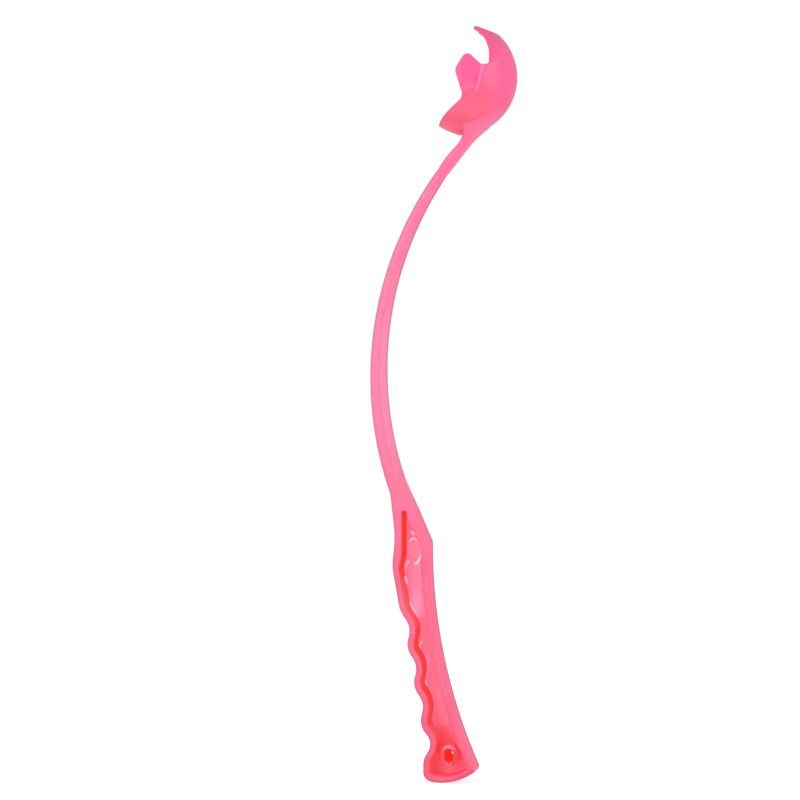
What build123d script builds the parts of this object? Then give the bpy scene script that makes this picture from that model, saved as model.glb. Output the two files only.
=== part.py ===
from build123d import *
from math import asin, cos, degrees, radians, sin, sqrt
import os

os.makedirs("parts", exist_ok=True)

# Dog ball launcher stick, upright, in millimetres.
# X runs to the right of the side view, Z runs up, and Y is the thickness.
# The middle of the thickness is Y = 0 and the hang hole's axis is X = Z = 0.
SIDE = Plane.XZ
FRONT = Plane.YZ
BOTH = (1, -1)

# Ball cup
ball_radius = 31.75
ball_pinch = 0.35
cup_wall = 4.5
tongue_tip_thickness = 1.0
lip_tip_thickness = 1.7
cup_x = 5.4
cup_z = 423.7
seat_radius = ball_radius - ball_pinch
cup_radius = seat_radius + cup_wall
beyond = cup_radius + cup_wall
cup_location = Location((cup_x, 0, cup_z))

# Rim of the cup in the side view, as shares of the cup's outer radius
tip_share = (0.29, 0.80)
tongue_mid_share = (0.557, 0.540)
tongue_foot_share = (0.632, 0.267)
notch_right_share = (0.632, 0.120)
notch_left_share = (0.513, 0.120)
petal_top_share = (0.272, 0.345)
petal_elbow_share = (0.088, 0.019)
scallop_share = (0.217, -0.432)
lip_share = (-0.52, -0.99)
notch_round = 1.5
petal_top_round = 3.0
petal_elbow_round = 5.0
scallop_round = 5.5
rim_round = 0.9

# Ends of the tongue and of the lower lip, seen from above
tongue_end_x = 9.2
tongue_end_radius = 26.0
lip_end_x = -12.5
lip_end_radius = 40.0
end_reach = 12.0
tongue_end_share = 0.5
lip_end_share = 0.6
tongue_facet_angle = 71.3
lip_facet_angle = 246.5

# Thinner side petals inside a bevelled step
petal_step = 1.1
petal_bevel_angle = 50.0
petal_bevel_y = 30.9
crease_top_share = (0.57, 0.24)
crease_foot_share = (0.425, -0.34)
petal_foot_share = (-0.1, -0.20)
petal_far_share = (-0.1, 0.60)

# Bowed arm, an arc on the front and an arc on the back of the side view
bow_x = -50.6
bow_z = 237.0
arm_front_radius = 218.0
bow_width = 8.1
arm_width_loss = 0.5
arm_back_rise = 3.5
arm_front_x = bow_x + arm_front_radius
arm_front_z = bow_z
arm_back_radius = arm_front_radius + arm_width_loss - bow_width
arm_back_x = arm_front_x + arm_width_loss
arm_back_z = bow_z + arm_back_rise
arm_top_z = 364.0
arm_seam_z = 362.0
neck_seam_z = 172.0

# Handle outline in the side view
palm_x = -13.3
palm_z = 129.9
handle_back_radius = 333.0
handle_back_x = palm_x + handle_back_radius
handle_back_z = palm_z
handle_back_mid_z = 60.0
corner_z = -9.1
corner_round = 3.0
butt_x = -5.8
butt_z = -17.2
butt_corner_z = -15.6
butt_round = 6.0
corner_lift_share = 0.3
kink_z = 132.5
kink_round = 6.0
neck_low = (-20.9, 150.0)
neck_top_z = 178.0
brow_top_z = 165.0
brow_points = [(-36.8, 155.6), (-35.2, 141.0), (-35.2, 129.0), (-36.2, 119.0)]

# Finger grooves, measured up the leaning grip and outwards from its axis
grip_lean = 10.2
groove_pitch = 24.15
groove_count = 4
groove_first_up = 82.5
groove_line_out = 12.7
groove_depth = 3.05
palm_out = 15.15
palm_high_up = 118.0
last_groove_out = 10.7
last_groove_radius = 9.0
last_groove_angle = 48.0
pommel_x = -16.6

# Thickness of the stick in the front view
handle_thickness = 20.0
taper_start_z = 154.0
taper_radius = 4780.0
long_edge_round = 2.7
edge_margin = 1.0

# Finger pocket in the handle, open towards -Y
pocket_wall = 4.2
pocket_floor = 4.5
slot_left_x = -30.0
slot_left_low_z = 126.0
slot_top_z = 152.4
slot_right_top = (-26.8, 149.5)
slot_right_mid = (-22.9, 140.4)
slot_right_low_z = 129.0
pocket_round = 1.5
slot_round = 1.5
pocket_rim_round = 1.0
floor_round = 1.0

# Hang hole in its collar
hang_radius = 1.7
hang_mouth_width = 5.8
hang_mouth_length = 9.0
hang_mouth_depth = 8.0
collar_wall = 2.2
collar_height = 15.0
collar_round = 0.8

# Gate well in the pocket floor
well_x = -24.2
well_z = 127.4
well_radius = 4.8
well_depth = 1.4
well_taper = 25.0

# Raised pad on the pocket floor, below the gate well
pad_foot = (-20.4, 79.0)
pad_points = [(-23.4, 87.5), (-26.6, 95.0), (-28.6, 106.0)]
pad_top_left = (-28.8, 121.0)
pad_height = 0.6

# Tangs that join the three mouldings
tang_clearance = 0.15
neck_tang_length = 12.0
neck_tang_width = 5.0
neck_tang_thickness = 11.0
cup_tang_length = 10.0
cup_tang_width = 2.9
cup_tang_thickness = 6.5

# Flared stem that carries the cup: sections on the arm's line, as height, width
# and thickness, then level sections as shares of the cup's outer radius: left,
# right, height and half thickness
stem_stations = [(368.0, 6.1, 11.0), (374.0, 5.7, 14.0)]
stem_round = 2.2
throat_shares = [
    (0.09, 0.285, -1.02, 0.30),
    (0.12, 0.44, -0.84, 0.50),
    (0.25, 0.55, -0.66, 0.46),
]


# Shapes the outlines are drawn with
def arc_x(centre_x, centre_z, radius, height):
    return centre_x - sqrt(radius**2 - (height - centre_z) ** 2)


def front_point(height):
    return (arc_x(arm_front_x, arm_front_z, arm_front_radius, height), height)


def back_point(height):
    return (arc_x(arm_back_x, arm_back_z, arm_back_radius, height), height)


def handle_back_point(height, inset=0):
    radius = handle_back_radius + inset
    return (arc_x(handle_back_x, handle_back_z, radius, height), height)


def grip_point(up, out):
    lean = radians(grip_lean)
    return (-up * sin(lean) - out * cos(lean), up * cos(lean) - out * sin(lean))


def grip_arc(up, out, radius, first, last):
    points = []
    for angle in (first, (first + last) / 2, last):
        turn = radians(angle)
        points.append(grip_point(up + radius * sin(turn), out + radius * cos(turn)))
    ThreePointArc(*points)
    return points


def arc_slope(centre_x, centre_z, radius, height):
    return (height - centre_z, sqrt(radius**2 - (height - centre_z) ** 2))


def cup_point(share):
    return (cup_x + share[0] * cup_radius, cup_z + share[1] * cup_radius)


def arm_plane(height):
    centre_x = (arm_front_x + arm_back_x) / 2
    centre_z = (arm_front_z + arm_back_z) / 2
    radius = (arm_front_radius + arm_back_radius) / 2
    middle_x = arc_x(centre_x, centre_z, radius, height)
    out_x = (middle_x - centre_x) / radius
    out_z = (height - centre_z) / radius
    return Plane(
        origin=(middle_x, 0, height), x_dir=(out_x, 0, out_z), z_dir=(out_z, 0, -out_x)
    )


# Arcs of the finger grooves, all tangent to each other
quarter = groove_pitch / 4
swing = groove_depth / 2
groove_radius = (quarter**2 + swing**2) / (2 * swing)
groove_angle = degrees(asin(quarter / groove_radius))
hollow_out = groove_line_out - swing + groove_radius
ridge_out = groove_line_out + swing - groove_radius
shoulder_radius = (palm_out - groove_line_out) / (1 - cos(radians(groove_angle)))
shoulder_up = groove_first_up + quarter + shoulder_radius * sin(radians(groove_angle))
last_ridge_up = groove_first_up - (groove_count - 2) * groove_pitch - 2 * quarter
last_hollow_out = last_groove_out + last_groove_radius
last_reach = groove_radius + last_groove_radius
last_drop = sqrt(last_reach**2 - (last_hollow_out - ridge_out) ** 2)
last_angle = degrees(asin(last_drop / last_reach))
down_grip = (sin(radians(grip_lean)), -cos(radians(grip_lean)))
swell = radians(last_groove_angle - grip_lean)
swell_start = grip_point(
    last_ridge_up - last_drop - last_groove_radius * sin(radians(last_groove_angle)),
    last_hollow_out - last_groove_radius * cos(radians(last_groove_angle)),
)
swell_radius = (swell_start[0] - pommel_x) / (1 - cos(swell))
pommel_z = swell_start[1] - swell_radius * sin(swell)


# The handle's edge from the palm rest down, around the butt and up the back
def handle_edge(inset, back_top_z):
    Line(
        grip_point(palm_high_up, palm_out - inset),
        grip_point(shoulder_up, palm_out - inset),
    )
    grip_arc(
        shoulder_up,
        palm_out - shoulder_radius,
        shoulder_radius - inset,
        0,
        -groove_angle,
    )
    for groove in range(groove_count - 1):
        up = groove_first_up - groove * groove_pitch
        turn = last_angle if groove == groove_count - 2 else groove_angle
        grip_arc(up, hollow_out, -groove_radius - inset, -groove_angle, groove_angle)
        grip_arc(
            up - 2 * quarter, ridge_out, groove_radius - inset, groove_angle, -turn
        )
    ends = grip_arc(
        last_ridge_up - last_drop,
        last_hollow_out,
        -last_groove_radius - inset,
        -last_angle,
        last_groove_angle,
    )
    side_x = pommel_x + inset
    side_z = butt_corner_z + inset
    corner = handle_back_point(corner_z + inset * corner_lift_share, inset)
    TangentArc(ends[-1], (side_x, pommel_z), tangent=(-sin(swell), -cos(swell)))
    Line((side_x, pommel_z), (side_x, side_z))
    ThreePointArc((side_x, side_z), (butt_x, butt_z + inset), corner)
    ThreePointArc(
        corner,
        handle_back_point(handle_back_mid_z, inset),
        handle_back_point(back_top_z, inset),
    )
    return (side_x, side_z, 0), (*corner, 0)


# Side outline of the arm and the handle
with BuildSketch(SIDE.offset(-handle_thickness / 2)) as stick_outline:
    with BuildLine():
        ThreePointArc(
            front_point(arm_top_z),
            front_point((arm_top_z + brow_top_z) / 2),
            front_point(brow_top_z),
        )
        slope_x, slope_z = arc_slope(
            arm_front_x, arm_front_z, arm_front_radius, brow_top_z
        )
        Spline(
            front_point(brow_top_z),
            *brow_points,
            grip_point(palm_high_up, palm_out),
            tangents=[(-slope_x, -slope_z), down_grip],
        )
        butt_corners = handle_edge(0, kink_z)
        kink = handle_back_point(kink_z)
        Line(kink, neck_low)
        Spline(
            neck_low,
            back_point(neck_top_z),
            tangents=[
                (neck_low[0] - kink[0], neck_low[1] - kink[1]),
                arc_slope(arm_back_x, arm_back_z, arm_back_radius, neck_top_z),
            ],
        )
        ThreePointArc(
            back_point(neck_top_z),
            back_point((arm_top_z + neck_top_z) / 2),
            back_point(arm_top_z),
        )
        Line(back_point(arm_top_z), front_point(arm_top_z))
    make_face()
    rounds = zip((*butt_corners, (*kink, 0)), (butt_round, corner_round, kink_round))
    for corner, radius in rounds:
        corners = stick_outline.vertices()
        fillet(corners.sort_by_distance(corner)[0], radius)

# The whole stick in one piece, thinning towards the cup, with rounded long edges
with BuildPart() as stick:
    extrude(stick_outline.sketch, amount=handle_thickness)
    with BuildSketch(FRONT.offset(-arm_front_radius)):
        with BuildLine():
            half = handle_thickness / 2
            rise = (arm_top_z - taper_start_z) / 2
            low_y = half - taper_radius + sqrt(taper_radius**2 - rise**2)
            top_y = half - taper_radius + sqrt(taper_radius**2 - (2 * rise) ** 2)
            Line((0, 2 * butt_z), (half, 2 * butt_z))
            Line((half, 2 * butt_z), (half, taper_start_z))
            ThreePointArc(
                (half, taper_start_z), (low_y, taper_start_z + rise), (top_y, arm_top_z)
            )
            Line((top_y, arm_top_z), (0, arm_top_z))
            Line((0, arm_top_z), (0, 2 * butt_z))
        make_face()
        mirror(about=Plane.YZ)
    extrude(amount=2 * arm_front_radius, mode=Mode.INTERSECT)
    long_edges = [
        edge
        for edge in stick.edges()
        if abs(edge.tangent_at(0).Y) < cos(radians(45))
        and edge.center().Z < arm_top_z - edge_margin
    ]
    fillet(long_edges, long_edge_round)

# Handle with its finger pocket, collar, hang hole and neck socket
with BuildPart() as handle:
    add(stick.part)
    split(bisect_by=arm_plane(neck_seam_z), keep=Keep.BOTTOM)
    with BuildSketch(SIDE.offset(handle_thickness / 2)) as pocket_outline:
        with BuildLine():
            Spline(
                (slot_left_x, slot_left_low_z),
                grip_point(palm_high_up, palm_out - pocket_wall),
                tangents=[(0, -1), down_grip],
            )
            pocket_corners = handle_edge(pocket_wall, slot_right_low_z)
            ThreePointArc(
                handle_back_point(slot_right_low_z, pocket_wall),
                slot_right_mid,
                slot_right_top,
            )
            Polyline(
                slot_right_top,
                (slot_right_top[0], slot_top_z),
                (slot_left_x, slot_top_z),
                (slot_left_x, slot_left_low_z),
            )
        make_face()
        for corner in pocket_corners:
            corners = pocket_outline.vertices()
            fillet(corners.sort_by_distance(corner)[0], pocket_round)
        tops = pocket_outline.vertices().group_by(Axis.Y)[-1]
        fillet(tops, slot_round)
    extrude(amount=pocket_floor - handle_thickness, mode=Mode.SUBTRACT)
    rim_face = handle.faces().filter_by(GeomType.PLANE).sort_by(Axis.Y)[0]
    fillet(rim_face.inner_wires()[0].edges(), pocket_rim_round)
    floor = SIDE.offset(pocket_floor - handle_thickness / 2)
    floor_face = handle.faces().sort_by_distance((well_x, floor.origin.Y, well_z))[0]
    fillet(floor_face.edges(), floor_round)
    with BuildSketch(floor):
        with BuildLine():
            Spline(pad_foot, *pad_points, pad_top_left)
            Polyline(pad_top_left, (pad_foot[0], pad_top_left[1]), pad_foot)
        make_face()
    extrude(amount=pad_height)
    with BuildPart() as collar:
        with BuildSketch(floor):
            SlotOverall(
                hang_mouth_length + 2 * collar_wall,
                hang_mouth_width + 2 * collar_wall,
                rotation=90,
            )
        extrude(amount=collar_height)
        fillet(collar.faces().sort_by(Axis.Y)[0].edges(), collar_round)
    with BuildSketch(floor.offset(collar_height)):
        SlotOverall(hang_mouth_length, hang_mouth_width, rotation=90)
    extrude(amount=-hang_mouth_depth, mode=Mode.SUBTRACT)
    with BuildSketch(floor.offset(collar_height)):
        Circle(hang_radius)
    extrude(amount=-handle_thickness, mode=Mode.SUBTRACT)
    with BuildSketch(floor):
        with Locations((well_x, well_z)):
            Circle(well_radius)
    extrude(amount=-well_depth, taper=well_taper, mode=Mode.SUBTRACT)
    with Locations(arm_plane(neck_seam_z)):
        Box(
            neck_tang_width + 2 * tang_clearance,
            neck_tang_thickness + 2 * tang_clearance,
            neck_tang_length + tang_clearance,
            align=(Align.CENTER, Align.CENTER, Align.MAX),
            mode=Mode.SUBTRACT,
        )
handle.part.label = "handle"
export_step(handle.part, "parts/handle.step")

# Bowed arm between the two seams
with BuildPart() as throwing_arm:
    add(stick.part)
    split(bisect_by=arm_plane(neck_seam_z), keep=Keep.TOP)
    split(bisect_by=arm_plane(arm_seam_z), keep=Keep.BOTTOM)
    cup_end = throwing_arm.faces().sort_by(Axis.Z)[-1]
    with Locations(arm_plane(neck_seam_z)):
        Box(
            neck_tang_width,
            neck_tang_thickness,
            neck_tang_length,
            align=(Align.CENTER, Align.CENTER, Align.MAX),
        )
    with Locations(arm_plane(arm_seam_z)):
        Box(
            cup_tang_width,
            cup_tang_thickness,
            cup_tang_length,
            align=(Align.CENTER, Align.CENTER, Align.MIN),
        )
throwing_arm.part.label = "throwing_arm"
export_step(throwing_arm.part, "parts/throwing_arm.step")

# Petal recess, a slice of the cup's outer skin with a bevelled inner part
with BuildPart() as petal_recess:
    for side in BOTH:
        bevel_plane = SIDE.offset(side * petal_bevel_y)
        with BuildSketch(bevel_plane) as petal_outline:
            with BuildLine():
                Polyline(
                    cup_point(crease_top_share),
                    cup_point(crease_foot_share),
                    cup_point(petal_foot_share),
                    cup_point(petal_far_share),
                    close=True,
                )
            make_face()
        extrude(petal_outline.sketch, amount=side * (beyond - petal_bevel_y))
        extrude(
            petal_outline.sketch,
            amount=-side * cup_wall / 2,
            taper=petal_bevel_angle,
        )
    with Locations(cup_location):
        Sphere(cup_radius - petal_step, mode=Mode.SUBTRACT)

# Flared stem that carries the cup
with BuildPart() as stem:
    sections = [cup_end]
    for height, width, thickness in stem_stations:
        with BuildSketch(arm_plane(height)) as station:
            RectangleRounded(width, thickness, stem_round)
        sections.append(station.sketch.faces()[0])
    for left, right, low, half in throat_shares:
        middle_x = cup_x + (left + right) / 2 * cup_radius
        throat_plane = Plane(
            origin=(middle_x, 0, cup_z + low * cup_radius),
            x_dir=(-1, 0, 0),
            z_dir=(0, 0, 1),
        )
        with BuildSketch(throat_plane) as station:
            RectangleRounded(
                (right - left) * cup_radius, 2 * half * cup_radius, stem_round
            )
        sections.append(station.sketch.faces()[0])
    loft(sections)
    with Locations(cup_location):
        Sphere(seat_radius, mode=Mode.SUBTRACT)

# Ball cup, a hollow ball cut open by the rim and thinned at its tips and petals
with BuildPart() as ball_cup:
    with Locations(cup_location):
        Sphere(cup_radius)
        Sphere(seat_radius, mode=Mode.SUBTRACT)
    with BuildSketch(SIDE.offset(-beyond)) as mouth:
        with BuildLine():
            ThreePointArc(
                cup_point(tip_share),
                cup_point(tongue_mid_share),
                cup_point(tongue_foot_share),
            )
            Polyline(
                cup_point(tongue_foot_share),
                cup_point(notch_right_share),
                cup_point(notch_left_share),
                cup_point(petal_top_share),
                cup_point(petal_elbow_share),
                cup_point(scallop_share),
                cup_point(lip_share),
                (cup_x - beyond, cup_z + lip_share[1] * cup_radius),
                (cup_x - beyond, cup_z + beyond),
                (cup_x + tip_share[0] * cup_radius, cup_z + beyond),
                cup_point(tip_share),
            )
        make_face()
        for share, radius in (
            (notch_right_share, notch_round),
            (petal_top_share, petal_top_round),
            (petal_elbow_share, petal_elbow_round),
            (scallop_share, scallop_round),
        ):
            corners = mouth.vertices()
            fillet(corners.sort_by_distance((*cup_point(share), 0))[0], radius)
    extrude(amount=2 * beyond, mode=Mode.SUBTRACT)
    rim_edges = []
    for edge in ball_cup.edges():
        away = (edge.position_at(0.5) - Vector(cup_x, 0, cup_z)).length
        if min(abs(away - cup_radius), abs(away - seat_radius)) < rim_round / 100:
            rim_edges.append(edge)
    fillet(rim_edges, rim_round)
    for up, share, end_x, end_radius in (
        (1, tongue_end_share, tongue_end_x, tongue_end_radius),
        (-1, lip_end_share, lip_end_x, lip_end_radius),
    ):
        with BuildSketch(Plane.XY.offset(cup_z + up * share * cup_radius)):
            with Locations((cup_x + end_x + end_reach - beyond, 0)):
                Rectangle(2 * beyond, 2 * beyond)
            with Locations((cup_x + end_x + end_radius, 0)):
                Circle(end_radius, mode=Mode.SUBTRACT)
        extrude(amount=up * beyond, mode=Mode.SUBTRACT)
    for angle, thickness in (
        (tongue_facet_angle, tongue_tip_thickness),
        (lip_facet_angle, lip_tip_thickness),
    ):
        facet = seat_radius + thickness
        turn = radians(angle)
        facet_plane = Plane(
            origin=(cup_x + facet * cos(turn), 0, cup_z + facet * sin(turn)),
            x_dir=(-sin(turn), 0, cos(turn)),
            z_dir=(cos(turn), 0, sin(turn)),
        )
        with Locations(facet_plane):
            Box(
                2 * cup_radius,
                2 * cup_radius,
                cup_wall,
                align=(Align.CENTER, Align.CENTER, Align.MIN),
                mode=Mode.SUBTRACT,
            )
    add(petal_recess.part, mode=Mode.SUBTRACT)
    add(stem.part)
    with Locations(arm_plane(arm_seam_z)):
        Box(
            cup_tang_width + 2 * tang_clearance,
            cup_tang_thickness + 2 * tang_clearance,
            cup_tang_length + tang_clearance,
            align=(Align.CENTER, Align.CENTER, Align.MIN),
            mode=Mode.SUBTRACT,
        )
ball_cup.part.label = "ball_cup"
export_step(ball_cup.part, "parts/ball_cup.step")
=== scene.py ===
# %% [markdown]
# # Dog ball launcher stick
# A ball launcher of this kind is one injection moulding in glossy, slightly
# see-through neon plastic: a clawed cup, a bowed arm and a pocketed handle.
# The solids come from the imported model and keep their shape here. What this
# lesson adds is light, the deep glow of the plastic, painted into its colours as
# painted light and shade, and thin pale rods that stand in for glints as painted
# highlights. Blender works in metres. Places on the stick are given in
# millimetres from the middle of the hang hole: x runs from the finger grooves to
# the palm, y away from the viewer and z up.

import math

import bpy
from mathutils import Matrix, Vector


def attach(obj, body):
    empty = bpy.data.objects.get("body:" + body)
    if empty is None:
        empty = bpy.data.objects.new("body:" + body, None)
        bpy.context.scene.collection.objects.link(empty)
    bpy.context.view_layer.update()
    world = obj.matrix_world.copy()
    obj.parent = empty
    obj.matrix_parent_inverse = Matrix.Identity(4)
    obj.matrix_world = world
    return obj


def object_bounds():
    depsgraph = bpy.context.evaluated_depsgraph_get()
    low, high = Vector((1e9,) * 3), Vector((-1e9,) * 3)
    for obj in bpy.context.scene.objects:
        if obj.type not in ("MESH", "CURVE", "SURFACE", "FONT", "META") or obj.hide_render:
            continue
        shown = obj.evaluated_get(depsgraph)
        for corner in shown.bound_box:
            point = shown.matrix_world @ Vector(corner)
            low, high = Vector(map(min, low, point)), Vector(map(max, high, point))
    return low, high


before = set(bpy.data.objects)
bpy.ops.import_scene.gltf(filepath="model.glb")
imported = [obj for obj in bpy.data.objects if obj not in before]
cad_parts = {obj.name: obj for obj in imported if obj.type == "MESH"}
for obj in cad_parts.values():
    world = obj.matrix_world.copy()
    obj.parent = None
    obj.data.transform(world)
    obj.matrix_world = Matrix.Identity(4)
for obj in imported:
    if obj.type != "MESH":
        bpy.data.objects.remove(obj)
cad_low, cad_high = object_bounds()
bpy.ops.object.select_all(action="DESELECT")
MM = 0.001
print("solids:", sorted(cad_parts))

# %% [markdown]
# ## Camera
# The stick is seen from a little to its right, so the back of the handle shows
# as a strip beside the pocket's rim. The camera is level and far away, which
# keeps the verticals straight. The lens follows from the width that has to fit
# in the square picture at the stick's distance.

# %% Camera
VIEW_TURN = math.radians(12.0)
VIEW_DISTANCE = 1.5
VIEW_WIDTH = 0.504
VIEW_TARGET = (-0.033, 0.0, 0.2218)
SENSOR = 36.0

camera_data = bpy.data.cameras.new("camera")
camera_data.sensor_width = SENSOR
camera_data.lens = SENSOR * VIEW_DISTANCE / VIEW_WIDTH
camera = bpy.data.objects.new("camera", camera_data)
camera.location = (
    VIEW_TARGET[0] + VIEW_DISTANCE * math.sin(VIEW_TURN),
    VIEW_TARGET[1] - VIEW_DISTANCE * math.cos(VIEW_TURN),
    VIEW_TARGET[2],
)
camera.rotation_euler = (math.radians(90), 0, VIEW_TURN)
bpy.context.collection.objects.link(camera)
bpy.context.scene.camera = camera
print("lens:", round(camera_data.lens, 1), "mm")

# %% [markdown]
# ## Light and floor
# A shop picture of a plastic toy is lit softly from the front, so that the
# colour reads before the shape does. The world gives a dim, even light from all
# round, because glossy edges mirror what is behind them, and dim edges look
# crisp. The camera alone sees the world as white.

# %% World
scene = bpy.context.scene
scene.view_settings.view_transform = "Standard"
WORLD_LEVEL = 0.45
WHITE = (1, 1, 1, 1)
world = bpy.data.worlds.new("studio")
scene.world = world
world.use_nodes = True
tree = world.node_tree
tree.nodes.clear()
seen = tree.nodes.new("ShaderNodeLightPath")
white = tree.nodes.new("ShaderNodeBackground")
white.inputs["Color"].default_value = WHITE
white.inputs["Strength"].default_value = 1.0
light = tree.nodes.new("ShaderNodeBackground")
light.inputs["Color"].default_value = WHITE
light.inputs["Strength"].default_value = WORLD_LEVEL
mix = tree.nodes.new("ShaderNodeMixShader")
out = tree.nodes.new("ShaderNodeOutputWorld")
tree.links.new(seen.outputs["Is Camera Ray"], mix.inputs[0])
tree.links.new(light.outputs[0], mix.inputs[1])
tree.links.new(white.outputs[0], mix.inputs[2])
tree.links.new(mix.outputs[0], out.inputs[0])
print("world level:", WORLD_LEVEL)

# %% [markdown]
# Most of the light comes from two very large lamps, front left and front right.
# A large lamp draws a soft shadow and a broad, quiet reflection.

# %% Lamps
LAMP_AIM = (-0.01, 0.0, 0.22)
LAMP_WATTS = 14


def soft_lamp(name, place, size):
    """A lamp of size, width by height, at place, that shines at the stick's middle."""
    data = bpy.data.lights.new(name, "AREA")
    data.shape = "RECTANGLE"
    data.size, data.size_y = size
    data.energy = LAMP_WATTS
    lamp = bpy.data.objects.new(name, data)
    lamp.location = place
    toward = [LAMP_AIM[i] - place[i] for i in range(3)]
    lamp.rotation_euler = Vector(toward).to_track_quat("-Z", "Y").to_euler()
    bpy.context.collection.objects.link(lamp)
    return lamp


lamps = [
    soft_lamp("lamp_left", (-0.8, -1.2, 0.8), (1.4, 1.6)),
    soft_lamp("lamp_right", (1.4, -0.5, 0.4), (1.2, 1.6)),
]
print("lamps:", [lamp.name for lamp in lamps])

# %% [markdown]
# The floor lies a hair under the butt of the handle. It takes the stick's
# shadow, and a glow that the camera alone sees lifts it to near white.

# %% Floor
FLOOR_Z = cad_low.z
FLOOR_SPAN = 6
FLOOR_GAP = 0.0002
FLOOR_GREY = (0.86, 0.86, 0.86, 1)
FLOOR_LIFT = 0.62
bpy.ops.mesh.primitive_plane_add(size=FLOOR_SPAN, location=(0, 0, FLOOR_Z - FLOOR_GAP))
floor = bpy.context.object
floor.name = "floor"
bpy.ops.object.transform_apply(location=True)
floor_white = bpy.data.materials.new("floor_white")
floor_white.use_nodes = True
tree = floor_white.node_tree
tree.nodes.clear()
seen = tree.nodes.new("ShaderNodeLightPath")
plain = tree.nodes.new("ShaderNodeBsdfDiffuse")
plain.inputs["Color"].default_value = FLOOR_GREY
lift = tree.nodes.new("ShaderNodeEmission")
lift.inputs["Strength"].default_value = FLOOR_LIFT
lifted = tree.nodes.new("ShaderNodeAddShader")
pick = tree.nodes.new("ShaderNodeMixShader")
out = tree.nodes.new("ShaderNodeOutputMaterial")
tree.links.new(plain.outputs[0], lifted.inputs[0])
tree.links.new(lift.outputs[0], lifted.inputs[1])
tree.links.new(seen.outputs["Is Camera Ray"], pick.inputs[0])
tree.links.new(plain.outputs[0], pick.inputs[1])
tree.links.new(lifted.outputs[0], pick.inputs[2])
tree.links.new(pick.outputs[0], out.inputs[0])
floor.data.materials.append(floor_white)
bpy.ops.object.select_all(action="DESELECT")
print("floor at", round(FLOOR_Z / MM, 2), "mm")

# %% [markdown]
# ## The plastic
# Neon plastic takes in light on its broad faces and lets it out at edges and
# in deep corners, where it looks orange-red. A renderer can work that out from
# a dense volume, but slowly and with noise. Here that light and shade are
# painted into the colour and a glow, from the place on the part, in millimetres,
# which also survives an export. Each material mixes a few colours with masks,
# which are 1 where a colour shows and 0 where it doesn't, and which fade over a
# stated distance.


# %% Screen colours
def srgb(red, green, blue):
    """A colour as it is seen on a screen, 0 to 255, in the linear form of a socket."""
    parts = []
    for part in (red / 255, green / 255, blue / 255):
        flat = part / 12.92 if part <= 0.04045 else ((part + 0.055) / 1.055) ** 2.4
        parts.append(flat)
    return (*parts, 1.0)


print("mid grey in a socket:", round(srgb(128, 128, 128)[0], 3))

# %% [markdown]
# The tools below save writing out each node. They start a material, give the
# place in millimetres and the direction that a face looks in, and work out sums
# with Math nodes.


# %% Node tools
class NodeTools:
    """A new material, with the place and direction that its nodes start from."""

    def __init__(self, name):
        self.material = bpy.data.materials.new(name)
        self.material.use_nodes = True
        self.tree = self.material.node_tree
        self.nodes = self.tree.nodes
        spot = self.nodes.new("ShaderNodeTexCoord")
        scaled = self.nodes.new("ShaderNodeVectorMath")
        scaled.operation = "SCALE"
        scaled.inputs["Scale"].default_value = 1 / MM
        self.link(spot.outputs["Object"], scaled.inputs[0])
        self.place = scaled.outputs[0]
        self.x, self.y, self.z = self.split(self.place)
        self.nx, self.ny, self.nz = self.split(spot.outputs["Normal"])

    def link(self, a, b):
        self.tree.links.new(a, b)

    def split(self, vector):
        node = self.nodes.new("ShaderNodeSeparateXYZ")
        self.link(vector, node.inputs[0])
        return node.outputs

    def work_out(self, node_type, kind, *values):
        """A node that works kind out from values, each a constant or another socket."""
        node = self.nodes.new(node_type)
        node.operation = kind
        for socket, value in zip(node.inputs, values):
            if isinstance(value, bpy.types.NodeSocket):
                self.link(value, socket)
            else:
                socket.default_value = value
        return node

    def math(self, kind, *values):
        return self.work_out("ShaderNodeMath", kind, *values).outputs[0]

    def vector(self, kind, *values):
        return self.work_out("ShaderNodeVectorMath", kind, *values)


print("node tools are ready")

# %% [markdown]
# The masks build on one another. A fade runs between two values, a band is a
# fade in and a fade out, and an egg is a fade by distance from a point. Masks
# are then joined: all of them at once, any of them, or everywhere but there.


# %% Masks
class Masks(NodeTools):
    """The masks that the colours of the stick are laid on with."""

    def fade(self, value, start, end):
        """0 where value is at start or before it, 1 at end or after it, smooth between."""
        node = self.nodes.new("ShaderNodeMapRange")
        node.interpolation_type = "SMOOTHSTEP"
        rising = start < end
        node.inputs["From Min"].default_value = min(start, end)
        node.inputs["From Max"].default_value = max(start, end)
        node.inputs["To Min"].default_value = 0 if rising else 1
        node.inputs["To Max"].default_value = 1 if rising else 0
        self.link(value, node.inputs["Value"])
        return node.outputs["Result"]

    def band(self, value, start, full, last, end):
        """1 from full to last, and 0 up to start and from end on."""
        return self.all_of(self.fade(value, start, full), self.fade(value, end, last))

    def near(self, point, inner, outer, squash=(1, 1, 1)):
        """1 inside an egg of radius inner around point, 0 beyond radius outer."""
        offset = self.vector("SUBTRACT", self.place, point)
        shaped = self.vector("DIVIDE", offset.outputs[0], squash)
        length = self.vector("LENGTH", shaped.outputs[0])
        return self.fade(length.outputs["Value"], outer, inner)

    def line(self, a, b):
        """How far right of the straight line from a to b a place is, seen from the front."""
        along_x, along_z = b[0] - a[0], b[1] - a[1]
        length = math.hypot(along_x, along_z)
        side = self.math("MULTIPLY_ADD", self.x, along_z / length, -a[0] * along_z / length)
        above = self.math("SUBTRACT", self.z, a[1])
        return self.math("MULTIPLY_ADD", above, -along_x / length, side)

    def all_of(self, *masks):
        result = masks[0]
        for mask in masks[1:]:
            result = self.math("MULTIPLY", result, mask)
        return result

    def any_of(self, *masks):
        result = masks[0]
        for mask in masks[1:]:
            result = self.math("MAXIMUM", result, mask)
        return result

    def outside(self, mask):
        return self.math("SUBTRACT", 1.0, mask)

    def some(self, mask, share):
        return self.math("MULTIPLY", mask, share)


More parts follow.
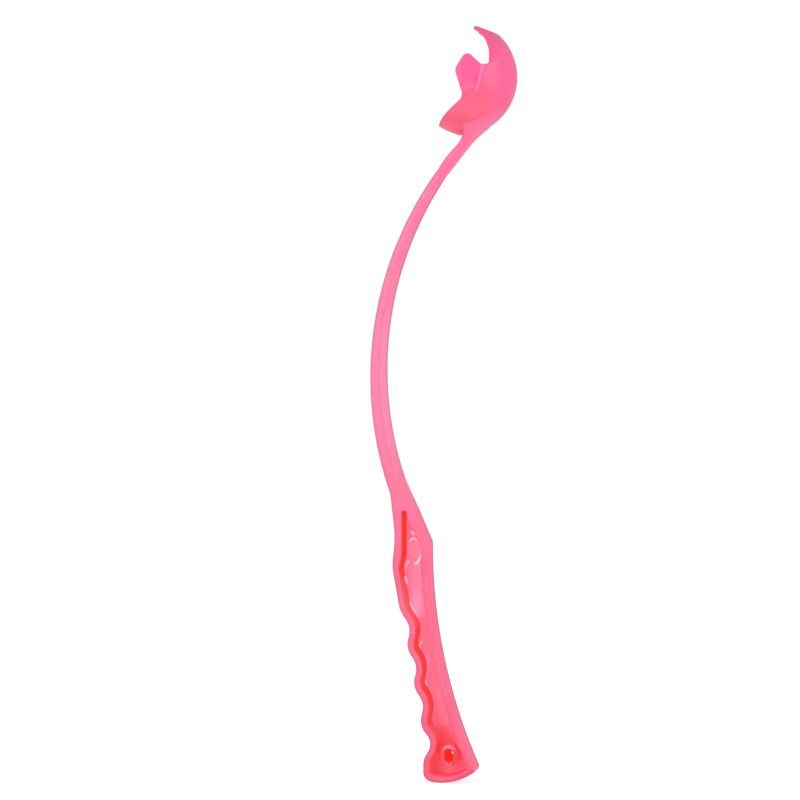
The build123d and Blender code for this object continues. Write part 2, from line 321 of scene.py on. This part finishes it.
print("masks: fade, band, near and line")

# %% [markdown]
# Colours are laid over each other as coats of paint are: each new coat covers
# what is below it where its mask is 1, or a share of it. There are two stacks
# of coats, one for the colour of the plastic and one for a glow, painted light
# that stands in for the light that it lets out.

# %% Coats of colour and glow
COLOUR = "Base Color"
GLOW = "Emission Color"
NO_GLOW = (0, 0, 0, 1)
# The colour sockets of a Mix node have no names of their own, only these places.
MIX_UNDER, MIX_OVER, MIX_RESULT = 6, 7, 2


class Paint(Masks):
    """A material in the making, with what has been laid on it so far."""

    def __init__(self, name):
        super().__init__(name)
        self.shader = self.nodes["Principled BSDF"]
        self.coats = {}

    def lay(self, stack, colour, mask, share):
        if stack not in self.coats:
            first = self.nodes.new("ShaderNodeRGB")
            first.outputs[0].default_value = colour
            self.coats[stack] = first.outputs[0]
            return
        node = self.nodes.new("ShaderNodeMix")
        node.data_type = "RGBA"
        self.link(mask if share == 1.0 else self.some(mask, share), node.inputs[0])
        self.link(self.coats[stack], node.inputs[MIX_UNDER])
        node.inputs[MIX_OVER].default_value = colour
        self.coats[stack] = node.outputs[MIX_RESULT]

    def colour(self, shade, mask=None, share=1.0):
        self.lay(COLOUR, shade, mask, share)

    def glow(self, shade, mask=None, share=1.0):
        self.lay(GLOW, shade, mask, share)


print("coats:", COLOUR, "and", GLOW)

# %% [markdown]
# Plastic of one colour is never quite even. Faint clouds of thicker dye follow
# the flow of the melt, and the polish of the mould leaves a soft waviness that
# breaks up reflections. All the materials share that, so it is a node group.


# %% Flow marks group
def build_flow_marks():
    """Clouds of dye and the waviness of a moulded skin, from a place in millimetres."""
    group = bpy.data.node_groups.new("flow_marks", "ShaderNodeTree")
    sides = group.interface
    sides.new_socket("Place", in_out="INPUT", socket_type="NodeSocketVector")
    for name, value in (("Cloud size", 22.0), ("Wave size", 7.0)):
        socket = sides.new_socket(name, in_out="INPUT", socket_type="NodeSocketFloat")
        socket.default_value = value
    for name in ("Cloud", "Wave"):
        sides.new_socket(name, in_out="OUTPUT", socket_type="NodeSocketFloat")
    enter = group.nodes.new("NodeGroupInput")
    leave = group.nodes.new("NodeGroupOutput")
    for size, result, detail in (("Cloud size", "Cloud", 3.0), ("Wave size", "Wave", 1.0)):
        pitch = group.nodes.new("ShaderNodeMath")
        pitch.operation = "DIVIDE"
        pitch.inputs[0].default_value = 1.0
        group.links.new(enter.outputs[size], pitch.inputs[1])
        noise = group.nodes.new("ShaderNodeTexNoise")
        noise.inputs["Detail"].default_value = detail
        group.links.new(enter.outputs["Place"], noise.inputs["Vector"])
        group.links.new(pitch.outputs[0], noise.inputs["Scale"])
        group.links.new(noise.outputs["Fac"], leave.inputs[result])
    return group


FLOW_MARKS = build_flow_marks()
print("group:", FLOW_MARKS.name)


# %% Clouds of dye
CLOUD_SHARE = 0.35


def cloud_over(paint, bright, dull):
    """Lays clouds of a brighter and a duller dye over the colours so far."""
    paint.marks = paint.nodes.new("ShaderNodeGroup")
    paint.marks.node_tree = FLOW_MARKS
    paint.link(paint.place, paint.marks.inputs["Place"])
    cloud = paint.marks.outputs["Cloud"]
    paint.colour(bright, paint.fade(cloud, 0.5, 0.72), CLOUD_SHARE)
    paint.colour(dull, paint.fade(cloud, 0.5, 0.28), CLOUD_SHARE)


print("clouds cover", CLOUD_SHARE, "of the colour at most")

# %% [markdown]
# Against a white ground a fine dark line is painted along the stick's outline,
# as painted shade. Layer Weight tells how far a face turns away from the eye, so
# the last coat darkens the faces that turn away most. The rounded edges at the
# left turn away fast, so their line starts sooner. Along a long back edge the
# line is a strip that shows from the side alone.

# %% Outline
OUTLINE_SHADE = srgb(178, 52, 108)
OUTLINE_SHARE = 0.85
LEFT_SHARE = 0.6
STRIP_SHARE = 0.75


def outline_shade_over(paint, sheltered=None, back_strip=None):
    """Lays the dark outline, painted shade, over the colours, but not where sheltered is 1.
    """
    weight = paint.nodes.new("ShaderNodeLayerWeight")
    weight.inputs["Blend"].default_value = 0.5
    turned = weight.outputs["Facing"]
    edge = paint.some(paint.fade(turned, 0.86, 0.97), OUTLINE_SHARE)
    left = paint.all_of(paint.fade(paint.nx, -0.3, -0.6), paint.fade(turned, 0.4, 0.9))
    edge = paint.any_of(edge, paint.some(left, LEFT_SHARE))
    if back_strip is not None:
        strip = paint.all_of(back_strip, paint.fade(turned, 0.6, 0.76))
        edge = paint.any_of(edge, paint.some(strip, STRIP_SHARE))
    if sheltered is not None:
        edge = paint.all_of(edge, paint.outside(sheltered))
    paint.colour(OUTLINE_SHADE, edge)


print("outline:", [round(part, 3) for part in OUTLINE_SHADE[:3]])

# %% [markdown]
# The plastic has a gloss that the waviness varies a little, and a thin clear
# coat. Deep walls are left matt, because at a slant they would mirror the white
# around the stick and lose their red.

# %% Finish
GLOW_LEVEL = 1.0
COAT = 0.1
COAT_ROUGHNESS = 0.1
GLOSS_SPREAD = 0.08
MATT_ROUGHNESS = 0.9
PLASTIC_IOR = 1.46
SPECULAR_LEVEL = 0.36


def finish_plastic(paint, gloss, wave_height, matt=None):
    """Closes a material: its coats, its gloss and its waviness of wave_height, in mm."""
    shader = paint.shader
    for stack, socket in paint.coats.items():
        paint.link(socket, shader.inputs[stack])
    shader.inputs["Emission Strength"].default_value = GLOW_LEVEL
    wave = paint.marks.outputs["Wave"]
    rough = paint.math("MULTIPLY_ADD", paint.fade(wave, 0.2, 0.8), GLOSS_SPREAD, gloss)
    if matt is None:
        shader.inputs["Coat Weight"].default_value = COAT
    else:
        rough = paint.any_of(rough, paint.some(matt, MATT_ROUGHNESS))
        coat = paint.math("MULTIPLY_ADD", matt, -COAT, COAT)
        paint.link(coat, shader.inputs["Coat Weight"])
    paint.link(rough, shader.inputs["Roughness"])
    bump = paint.nodes.new("ShaderNodeBump")
    bump.inputs["Strength"].default_value = 1.0
    bump.inputs["Distance"].default_value = wave_height * MM
    paint.link(wave, bump.inputs["Height"])
    paint.link(bump.outputs[0], shader.inputs["Normal"])
    shader.inputs["IOR"].default_value = PLASTIC_IOR
    shader.inputs["Specular IOR Level"].default_value = SPECULAR_LEVEL
    shader.inputs["Coat Roughness"].default_value = COAT_ROUGHNESS
    return paint.material


print("finish: coat", COAT, "and glow", GLOW_LEVEL)

# %% [markdown]
# ## Arm
# The arm is the palest and coolest pink, because it is thin. Its back edge is
# painted a shade paler still and given a glow, as painted light where light
# leaves the plastic. Faces turned away from the eye get a painted glow too.
# Towards the cup and the handle it warms up a little, so that no step shows at
# the two seams.

# %% Arm material
NECK_Z = 172
STEM_Z = 362
SIDE_GLOW = srgb(120, 24, 44)
arm = Paint("arm_pink")
arm_side = arm.fade(arm.nx, 0.4, 0.9)
arm.colour(srgb(246, 122, 163))
# Painted light: the back edge is a paler pink.
arm.colour(srgb(252, 116, 158), arm.fade(arm.nx, 0.35, 0.9))
arm.colour(srgb(249, 116, 162), arm.fade(arm.z, 310, STEM_Z), 0.8)
arm.colour(srgb(252, 118, 152), arm.fade(arm.z, 212, NECK_Z), 0.8)
cloud_over(arm, srgb(250, 134, 176), srgb(244, 112, 152))
arm.glow(NO_GLOW)
# Painted light: a glow on the back edge, stronger above the neck.
arm.glow(SIDE_GLOW, arm_side)
arm.glow(srgb(112, 72, 90), arm.all_of(arm_side, arm.band(arm.z, NECK_Z, 205, 250, 340)))
# Painted light: a glow on faces that look away from the eye.
arm.glow(srgb(150, 92, 106), arm.fade(arm.ny, 0.3, 0.9))
print("arm:", len(arm.nodes), "nodes")

# %% [markdown]
# The arm is as thick as the handle at its foot and thins out towards the cup.
# The dark line follows its back edge, so the strip is measured from there.

# %% Arm outline
HALF_THICKNESS = 10.0
HALF_AT_ORIGIN = 14.4
TAPER_PER_MM = -0.0275
arm_half = arm.math("MULTIPLY_ADD", arm.z, TAPER_PER_MM, HALF_AT_ORIGIN)
arm_half = arm.math("MINIMUM", arm_half, HALF_THICKNESS)
from_back = arm.math("SUBTRACT", arm_half, arm.y)
back_strip = arm.all_of(arm.fade(from_back, 6.0, 3.8), arm.fade(arm.nx, 0.3, 0.7))
outline_shade_over(arm, back_strip=back_strip)
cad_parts["throwing_arm"].data.materials[0] = finish_plastic(
    arm, gloss=0.3, wave_height=0.02
)
print("arm finished:", len(arm.nodes), "nodes")

# %% [markdown]
# ## Ball cup
# The tongue is magenta pink, the middle of the bowl is warmer, and below it the
# shell is painted towards red, as painted light, because more light gathers there.
# Faces that turn to the right get a painted lighter pink.

# %% Cup colours
cup = Paint("cup_pink")
cup.colour(srgb(249, 92, 138))
# Painted light: redder low on the bowl.
cup.colour(srgb(248, 96, 126), cup.fade(cup.z, 418, 404), 0.9)
cup.colour(srgb(250, 90, 148), cup.fade(cup.z, 430, 448))
cloud_over(cup, srgb(252, 102, 150), srgb(244, 82, 120))
# Painted light: faces turned to the right are a lighter pink.
limb_light = cup.all_of(cup.fade(cup.nx, 0.55, 0.95), cup.fade(cup.z, 396, 404))
cup.colour(srgb(250, 100, 156), limb_light, 0.8)
print("cup:", len(cup.nodes), "nodes")

# %% [markdown]
# The side petals are thinner than the bowl and end at a slanted crease. They
# are more magenta than the bowl. Beside the crease a pale wedge is painted as
# a highlight on the bevel, a dark groove of painted shade follows behind it,
# and a short pale line marks the foot of the petal.

# %% Petals
CREASE = ((20.7, 411.5), (25.9, 432.3))
PETAL_HEIGHTS = (411.2, 412.6, 434, 438)
GROOVE_SHADE_BAND = (1.3, 1.6, 2.2, 3.2)
PETAL_FOOT = (17, -31, 413.6)
crease = cup.line(*CREASE)
petal_height = cup.band(cup.z, *PETAL_HEIGHTS)
petal = cup.all_of(cup.fade(crease, 1.5, 1.2), petal_height)
cup.colour(srgb(246, 94, 152), petal)
cup.colour(srgb(250, 104, 156), cup.all_of(petal, cup.fade(cup.x, 17, 9)))
cup.colour(srgb(248, 106, 150), cup.all_of(petal, cup.fade(cup.z, 421, 413)), 0.8)
# Painted highlight: a pale wedge on the bevel.
wedge_highlight = cup.all_of(petal, cup.fade(crease, -2.0, 0.2), cup.fade(cup.z, 407, 420))
cup.colour(srgb(248, 118, 178), wedge_highlight, 0.8)
# Painted shade: a dark groove behind the crease.
groove_shade = cup.all_of(petal_height, cup.band(crease, *GROOVE_SHADE_BAND))
cup.colour(srgb(236, 80, 136), groove_shade, 0.5)
foot_line = cup.near(PETAL_FOOT, 0.3, 1.4, (6, 5, 0.7))
cup.colour(srgb(253, 150, 190), foot_line, 0.35)
print("crease:", CREASE)

# %% [markdown]
# The flare of the stem spreads over the foot of the bowl as far as a shallow
# curve. A red shadow is painted above the curve, and the lip in front of it is
# painted almost red, as painted light where the light gathers.

# %% Stem and lip
FLARE_X = 10.9
FLARE_BEND = -0.01
FLARE_SLOPE = -0.2
FLARE_SHADOW = (8, -20, 395.5)
past = cup.math("SUBTRACT", cup.x, FLARE_X)
curve = cup.math("MULTIPLY_ADD", cup.math("MULTIPLY", past, past), FLARE_BEND, cup.z)
curve = cup.math("MULTIPLY_ADD", past, FLARE_SLOPE, curve)
cup.colour(srgb(242, 66, 78), cup.near(FLARE_SHADOW, 0.3, 1.3, (11, 12, 3.4)), 0.45)
flare = cup.all_of(cup.fade(curve, 394.2, 390.4), cup.fade(cup.x, 9.8, 11.6))
stem = cup.any_of(flare, cup.fade(cup.z, 388, 384))
cup.colour(srgb(250, 110, 160), stem)
# Painted light: the lip is almost red, where light gathers.
lip_light = cup.all_of(cup.fade(cup.x, 8, 2), cup.fade(cup.z, 396, 390), cup.outside(stem))
cup.colour(srgb(252, 108, 126), lip_light, 0.9)
print("stem and lip painted")

# %% [markdown]
# A glow is painted on the cup where its faces look down, to the right and away
# from the lamps: painted light for the light that leaves the plastic there.

# %% Cup glow and finish
cup.glow(NO_GLOW)
cup.glow(srgb(112, 52, 66), cup.fade(cup.nz, -0.2, -0.8))
cup.glow(srgb(76, 18, 40), cup.fade(cup.nx, 0.45, 0.95))
shank = cup.all_of(cup.fade(cup.nx, 0.3, 0.7), cup.fade(cup.z, 400, 388))
cup.glow(srgb(134, 28, 56), shank)
cup.glow(srgb(140, 72, 92), cup.fade(cup.ny, 0.2, 0.9))
outline_shade_over(cup)
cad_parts["ball_cup"].data.materials[0] = finish_plastic(
    cup, gloss=0.28, wave_height=0.03
)
print("cup finished:", len(cup.nodes), "nodes")

# %% [markdown]
# ## Handle
# The handle is a shell around a pocket. Its rim and back are pink, and warm up
# from the neck down to the butt, where the plastic is thickest.

# %% Handle colours
handle = Paint("handle_pink")
handle.colour(srgb(251, 106, 140))
handle.colour(srgb(251, 116, 158), handle.fade(handle.z, 120, 160))
handle.colour(srgb(250, 94, 128), handle.fade(handle.z, 40, -10), 0.9)
# Painted light: the back, which faces right, is a deeper pink above the butt.
back_painted_light = handle.all_of(handle.fade(handle.nx, 0.5, 0.95), handle.fade(handle.z, 168, 110))
handle.colour(srgb(253, 96, 138), back_painted_light)
handle.colour(srgb(252, 117, 153), handle.fade(handle.z, 150, NECK_Z))
handle.colour(srgb(252, 116, 138), handle.fade(handle.z, -13.0, -15.0), 0.8)
cloud_over(handle, srgb(253, 120, 158), srgb(247, 94, 128))
# Painted light: a glow on faces turned right and on faces turned away from the eye.
handle.glow(NO_GLOW)
handle.glow(SIDE_GLOW, handle.fade(handle.nx, 0.6, 0.95))
handle.glow(srgb(150, 80, 96), handle.fade(handle.ny, 0.3, 0.9))
print("handle:", len(handle.nodes), "nodes")

# %% [markdown]
# The walls inside the pocket need a colour of their own, but they have the same
# heights as the outer faces. An inner wall faces the pocket's middle line and an
# outer wall faces away from it, so the sign of place times direction tells them
# apart. The middle line leans with the handle and bows in its upper half.

# %% Pocket masks
MIDDLE_LEAN = -0.27
BOW_START = 65
BOW_GROWTH = 0.00187
UNDER_RIM = (-9.5, -8.5)
OVER_FLOOR = (5.6, 5.3)
bow = handle.math("MAXIMUM", handle.math("SUBTRACT", handle.z, BOW_START), 0.0)
bow = handle.math("MULTIPLY", bow, bow)
middle = handle.math("MULTIPLY", handle.z, MIDDLE_LEAN)
middle = handle.math("MULTIPLY_ADD", bow, BOW_GROWTH, middle)
aside = handle.math("SUBTRACT", handle.x, middle)
outward = handle.math("MULTIPLY", aside, handle.nx)
flat_side = handle.fade(handle.math("ABSOLUTE", handle.ny), 0.9, 0.6)
deep = handle.fade(handle.y, *UNDER_RIM)
shallow = handle.fade(handle.y, *OVER_FLOOR)
low_wall = handle.all_of(handle.fade(handle.nz, 0.3, 0.7), handle.fade(handle.z, 0, -6))
top_wall = handle.all_of(handle.fade(handle.nz, -0.3, -0.7), handle.fade(handle.z, 145, 150))
inside = handle.any_of(handle.fade(outward, -0.15, -0.7), low_wall, top_wall)
print("pocket masks are ready")

# %% [markdown]
# The walls are painted saturated red with a red glow, as painted shade and
# light. They are hottest in the narrow slot at the top, and milky with a painted
# glow where the pocket is widest, in the last groove and in the pommel. The
# collar around the hang hole is left out, and the low wall along the butt is
# painted paler, because more light reaches it.

# %% Pocket walls
WALL_GLOW = srgb(116, 50, 46)
HOLE = (0, 0, 0)
# The collar and the hole are taller than wide, and as deep as the handle.
OVAL = (1, 30, 1.3)
WIDE_PART = (76, 86, 104, 116)
LAST_GROOVE = (7, 11, 15, 20)
collar = handle.near(HOLE, 8.0, 9.0, OVAL)
apart = handle.outside(collar)
below_neck = handle.fade(handle.z, 156, 153)
wall = handle.all_of(inside, flat_side, deep, shallow, below_neck, apart)
# Painted shade and glow: the inner walls are red and glow red.
handle.colour(srgb(236, 66, 70), wall)
handle.glow(WALL_GLOW, wall)
wide = handle.band(handle.z, *WIDE_PART)
last_groove = handle.band(handle.z, *LAST_GROOVE)
pommel = handle.some(handle.fade(handle.z, -1, -6), 0.6)
# Painted light: a milky glow where the pocket is widest.
milky_glow = handle.all_of(wall, handle.any_of(wide, last_groove, pommel))
handle.glow(srgb(114, 72, 78), milky_glow)
# Painted shade and glow: the slot is the hottest red.
slot = handle.all_of(wall, handle.fade(handle.z, 96, 130))
handle.colour(srgb(236, 18, 0), slot)
handle.glow(srgb(110, 44, 22), slot)
handle.glow(srgb(118, 54, 32), handle.all_of(slot, handle.fade(handle.z, 122, 146)))
# Painted light: the sill is paler, with a glow.
sill = handle.all_of(low_wall, flat_side, deep, apart)
handle.colour(srgb(246, 90, 118), sill)
handle.glow(srgb(104, 46, 60), sill)
print("walls painted:", len(handle.nodes), "nodes")

# %% [markdown]
# The collar's top is painted pale along its upper edge, a painted highlight
# where it catches the light, and painted shade sinks it into the red of the
# pocket towards the lower right. Its side gets painted shade and a red glow.

# %% Collar
ring_top = handle.all_of(collar, handle.fade(handle.y, -8.6, -9.2))
crescent_highlight = handle.all_of(ring_top, handle.fade(handle.z, 3.6, 5.6))
lower_ring = handle.all_of(ring_top, handle.fade(handle.z, 4.6, 3.0))
left_ring_shade = handle.all_of(lower_ring, handle.fade(handle.x, -1.5, -3))
right_ring_shade = handle.all_of(lower_ring, handle.fade(handle.x, 1.5, 2.8))
handle.colour(srgb(250, 106, 128), ring_top)
# Painted highlight: the pale crescent on the collar's top.
handle.colour(srgb(254, 142, 174), crescent_highlight, 0.8)
# Painted shade: the lower ring sinks into red.
handle.colour(srgb(252, 84, 98), left_ring_shade)
handle.colour(srgb(244, 52, 52), right_ring_shade, 0.85)
# Painted shade and glow on the collar's side.
ring_side = handle.all_of(collar, flat_side, deep, shallow)
handle.colour(srgb(250, 88, 108), ring_side)
handle.glow(srgb(120, 40, 50), ring_side)
print("collar painted")

# %% [markdown]
# The floor of the pocket is thin, so it is painted far paler than the walls, with
# a painted glow that lifts the shade of the recess. It is found by its depth and
# by facing the viewer, and the gate well sinks a little below and glows more. It
# is paler in the upper half and palest, as painted light, in one patch of the
# raised pad.

# %% Pocket floor
FLOOR_GLOW = srgb(118, 92, 112)
PALE_GLOW = srgb(118, 122, 150)
GATE_WELL = (-24.2, 6, 127.4)
WELL_DEPTHS = (5.0, 5.3, 7.3, 7.8)
FLOOR_DEPTHS = (4.3, 4.8, 7.3, 7.8)
UPPER_PART = (78, 96, 128, 140)
PALE_LIGHT_PATCH = (-24, 5, 92)
well = handle.all_of(handle.near(GATE_WELL, 5.2, 5.6), handle.band(handle.y, *WELL_DEPTHS))
floor_depth = handle.band(handle.y, *FLOOR_DEPTHS)
pocket_floor = handle.all_of(handle.fade(handle.ny, -0.5, -0.8), floor_depth)
pocket_floor = handle.any_of(pocket_floor, well)
handle.colour(srgb(251, 110, 140), pocket_floor)
# Painted light: a glow lifts the shade of the recessed floor.
handle.glow(FLOOR_GLOW, pocket_floor)
upper = handle.all_of(pocket_floor, handle.band(handle.z, *UPPER_PART))
handle.colour(srgb(252, 132, 170), upper)
# Painted light: more glow in the recessed gate well.
handle.glow(srgb(122, 110, 128), well)
# Painted light: the palest patch of the pad.
pale_light = handle.all_of(pocket_floor, handle.near(PALE_LIGHT_PATCH, 0.2, 1.4, (6, 9, 12)))
handle.colour(srgb(254, 162, 214), pale_light, 0.8)
handle.glow(PALE_GLOW, pale_light, 0.8)
print("floor painted:", len(handle.nodes), "nodes")

# %% [markdown]
# The edge of the raised pad shows as a painted highlight, a pale line, with a
# darker line of painted shade beside it. Lower down, the foot of one knuckle is
# a pale spot of painted light.

# %% Pad edge and knuckle
PAD_HEIGHTS = (66, 74, 112, 118)
HIGHLIGHT_BAND = (-20.9, -20.3, -19.9, -19.5)
SHADE_BAND = (-19.7, -19.3, -18.6, -17.4)
KNUCKLE = (-16.6, 5, 56)
edge_run = handle.all_of(pocket_floor, handle.band(handle.z, *PAD_HEIGHTS))
edge_highlight = handle.band(handle.x, *HIGHLIGHT_BAND)
edge_shade = handle.band(handle.x, *SHADE_BAND)
# Painted highlight and painted shade along the pad's edge.
handle.colour(srgb(254, 166, 196), handle.all_of(edge_run, edge_highlight), 0.7)
handle.colour(srgb(244, 92, 124), handle.all_of(edge_run, edge_shade), 0.5)
# Painted light: a pale spot with a glow at the knuckle's foot.
knuckle_light = handle.all_of(pocket_floor, handle.near(KNUCKLE, 0.3, 1.3, (1.6, 9, 8)))
handle.colour(srgb(254, 158, 186), knuckle_light, 0.9)
handle.glow(PALE_GLOW, knuckle_light, 0.6)
print("pad edge and knuckle painted")

# %% [markdown]
# Low in the pocket the floor turns red again, with a painted glow, and two
# darker smears of painted shade lie beside the collar. It pales once more just
# above the butt.

# %% Low floor
SHADE_SMEARS = [((-6.8, 5, 8), (6, 9, 9)), ((-12.2, 5, -2), (4.5, 9, 12))]
low_floor = handle.all_of(pocket_floor, handle.fade(handle.z, 30, 4))
handle.colour(srgb(244, 72, 92), low_floor)
handle.glow(srgb(112, 66, 84), low_floor)
butt_floor = handle.all_of(pocket_floor, handle.fade(handle.z, -6, -9.5))
handle.colour(srgb(252, 108, 130), butt_floor, 0.6)
# Painted shade: dark red smears beside the collar.
for place, size in SHADE_SMEARS:
    shade_smear = handle.all_of(pocket_floor, handle.near(place, 0.2, 1.5, size))
    handle.colour(srgb(240, 34, 38), shade_smear, 0.6)
    handle.glow(srgb(118, 44, 46), shade_smear, 0.6)
print("smears:", len(SHADE_SMEARS))

# %% [markdown]
# Streaks of thicker and thinner dye run along the floor. They come from the same
# clouds, smaller and drawn out lengthwise.

# %% Streaks
STREAK_SIZE = 4.5
DRAWN_OUT = (1.0, 0.0, 0.3)
streaks = handle.nodes.new("ShaderNodeGroup")
streaks.node_tree = FLOW_MARKS
streaks.inputs["Cloud size"].default_value = STREAK_SIZE
along = handle.vector("MULTIPLY", handle.place, DRAWN_OUT)
handle.link(along.outputs[0], streaks.inputs["Place"])
dye = streaks.outputs["Cloud"]
thick = handle.all_of(pocket_floor, handle.fade(dye, 0.49, 0.42))
thin = handle.all_of(pocket_floor, handle.fade(dye, 0.51, 0.59))
handle.colour(srgb(244, 74, 92), thick, 0.45)
handle.colour(srgb(254, 142, 172), thin, 0.5)
print("streaks:", STREAK_SIZE, "mm")

# %% [markdown]
# The hang hole is the deepest place of all and is painted a clear red with a
# red glow, as painted shade and light. The painted outline shade stays off the
# floor, the collar's side and the inner walls, which turn away from the eye
# without being an edge.

# %% Hang hole and finish
BORE_DEPTHS = (-9.3, -8.4, 9.2, 9.6)
hole = handle.near(HOLE, 3.2, 3.9, OVAL)
bore = handle.all_of(hole, handle.band(handle.y, *BORE_DEPTHS))
# Painted shade and glow: the bore is a clear red.
handle.colour(srgb(232, 40, 34), bore)
handle.glow(srgb(214, 34, 30), bore)
within = handle.all_of(handle.fade(outward, 0.05, -0.05), handle.fade(handle.y, -9.8, -9.3))
back_strip = handle.all_of(
    handle.fade(handle.y, 3.6, 6.0),
    handle.fade(handle.nx, 0.3, 0.7),
    handle.fade(outward, -0.1, 0.1),
)
outline_shade_over(handle, handle.any_of(pocket_floor, within, ring_side), back_strip)
matt = handle.any_of(bore, handle.some(wall, 0.8))
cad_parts["handle"].data.materials[0] = finish_plastic(
    handle, gloss=0.3, wave_height=0.02, matt=matt
)
print("handle finished:", len(handle.nodes), "nodes")

# %% [markdown]
# ## Painted highlights in the pocket
# On the glossy floor of the pocket glints show as pale strokes: a ring that is
# broken around the gate and beads along the foot of the left wall. They are
# painted highlights, each a thin rod that tapers to its ends and lies half sunk
# in the floor. A stroke has its name, its depth, its radius, its points and how
# full the rod is at each point.

# %% Ridges
FLOOR_Y = 5.35
PAD_Y = 4.75
SLIM = (0.35, 1, 0.35)
SLOT_FOOT = [(-27.2, 139.4), (-26.2, 138.2), (-24.9, 136.6)]
GATE_ARC = [(-27.8, 132.2), (-26.6, 133.9), (-24.8, 134.3), (-22.8, 132.9), (-20.9, 131.2)]
GATE_HOOK = [(-20.6, 124.6), (-21.0, 122.4), (-22.2, 120.2), (-24.0, 118.6), (-25.0, 118.4)]
FOOT_TOP = [(-28.1, 120.9), (-29.2, 118.8), (-30.2, 115.8)]
FOOT_MIDDLE = [(-30.7, 110.6), (-30.2, 108.0), (-29.0, 105.4)]
FOOT_LOW = [(-27.9, 94.6), (-26.8, 92.0), (-24.8, 88.6), (-22.4, 85.0)]
KNUCKLE_HOOK = [(-19.6, 69.6), (-20.8, 68.4), (-21.2, 66.8), (-20.4, 65.2)]
KNUCKLE_FOOT = [(-17.9, 45.2), (-17.6, 43.2), (-16.8, 41.6)]
STROKES = [
    ("slot_foot", FLOOR_Y, 0.75, SLOT_FOOT, (0.35, 1, 0.8)),
    ("gate_arc", FLOOR_Y, 0.62, GATE_ARC, (1, 1, 0.9, 0.45, 0.2)),
    ("gate_hook", PAD_Y, 0.8, GATE_HOOK, (0.4, 0.75, 0.95, 1.15, 0.6)),
    ("wall_foot_top", PAD_Y, 0.5, FOOT_TOP, (0.3, 1, 0.35)),
    ("wall_foot", PAD_Y, 0.75, FOOT_MIDDLE, SLIM),
    ("wall_foot_low", PAD_Y, 0.45, FOOT_LOW, (0.35, 1, 1, 0.35)),
    ("knuckle_hook", FLOOR_Y, 0.42, KNUCKLE_HOOK, (0.6, 1, 1, 0.35)),
    ("knuckle_foot", FLOOR_Y, 0.5, KNUCKLE_FOOT, SLIM),
]


def highlight_rod(name, depth, radius, points, swell):
    """A rod of radius at depth through points of x and z, with a swell at each."""
    curve = bpy.data.curves.new(name, "CURVE")
    curve.dimensions = "3D"
    curve.bevel_depth = radius * MM
    curve.bevel_resolution = 3
    curve.resolution_u = 8
    curve.use_fill_caps = True
    spline = curve.splines.new("BEZIER")
    spline.bezier_points.add(len(points) - 1)
    for point, (x, z), share in zip(spline.bezier_points, points, swell):
        point.co = (x * MM, depth * MM, z * MM)
        point.handle_left_type = point.handle_right_type = "AUTO"
        point.radius = share
    rod = bpy.data.objects.new(name, curve)
    bpy.context.collection.objects.link(rod)
    return rod


rods = [highlight_rod(*stroke) for stroke in STROKES]
print("rods:", [rod.name for rod in rods])

# %% [markdown]
# The rods become one mesh, which rides on the stick's only body.

# %% Join the ridges
bpy.ops.object.select_all(action="DESELECT")
for rod in rods:
    rod.select_set(True)
bpy.context.view_layer.objects.active = rods[0]
bpy.ops.object.convert(target="MESH")
bpy.ops.object.join()
marks = bpy.context.object
marks.name = "pocket_highlight_rods"
bpy.ops.object.shade_smooth()
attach(marks, "root")
print("ridges:", len(STROKES), "rods,", len(marks.data.polygons), "faces")

# %% [markdown]
# Their plastic is the same, but they are painted nearly white with a pale glow,
# as painted highlights.

# %% Ridge material
shine = Paint("ridge_shine")
# Painted highlight: the rods are nearly white and glow.
shine.colour(srgb(254, 214, 232))
shine.glow(srgb(190, 160, 175))
cloud_over(shine, srgb(255, 228, 240), srgb(252, 180, 208))
outline_shade_over(shine)
marks.data.materials.clear()
marks.data.materials.append(finish_plastic(shine, gloss=0.2, wave_height=0.01))
print("ridges painted:", len(shine.nodes), "nodes")
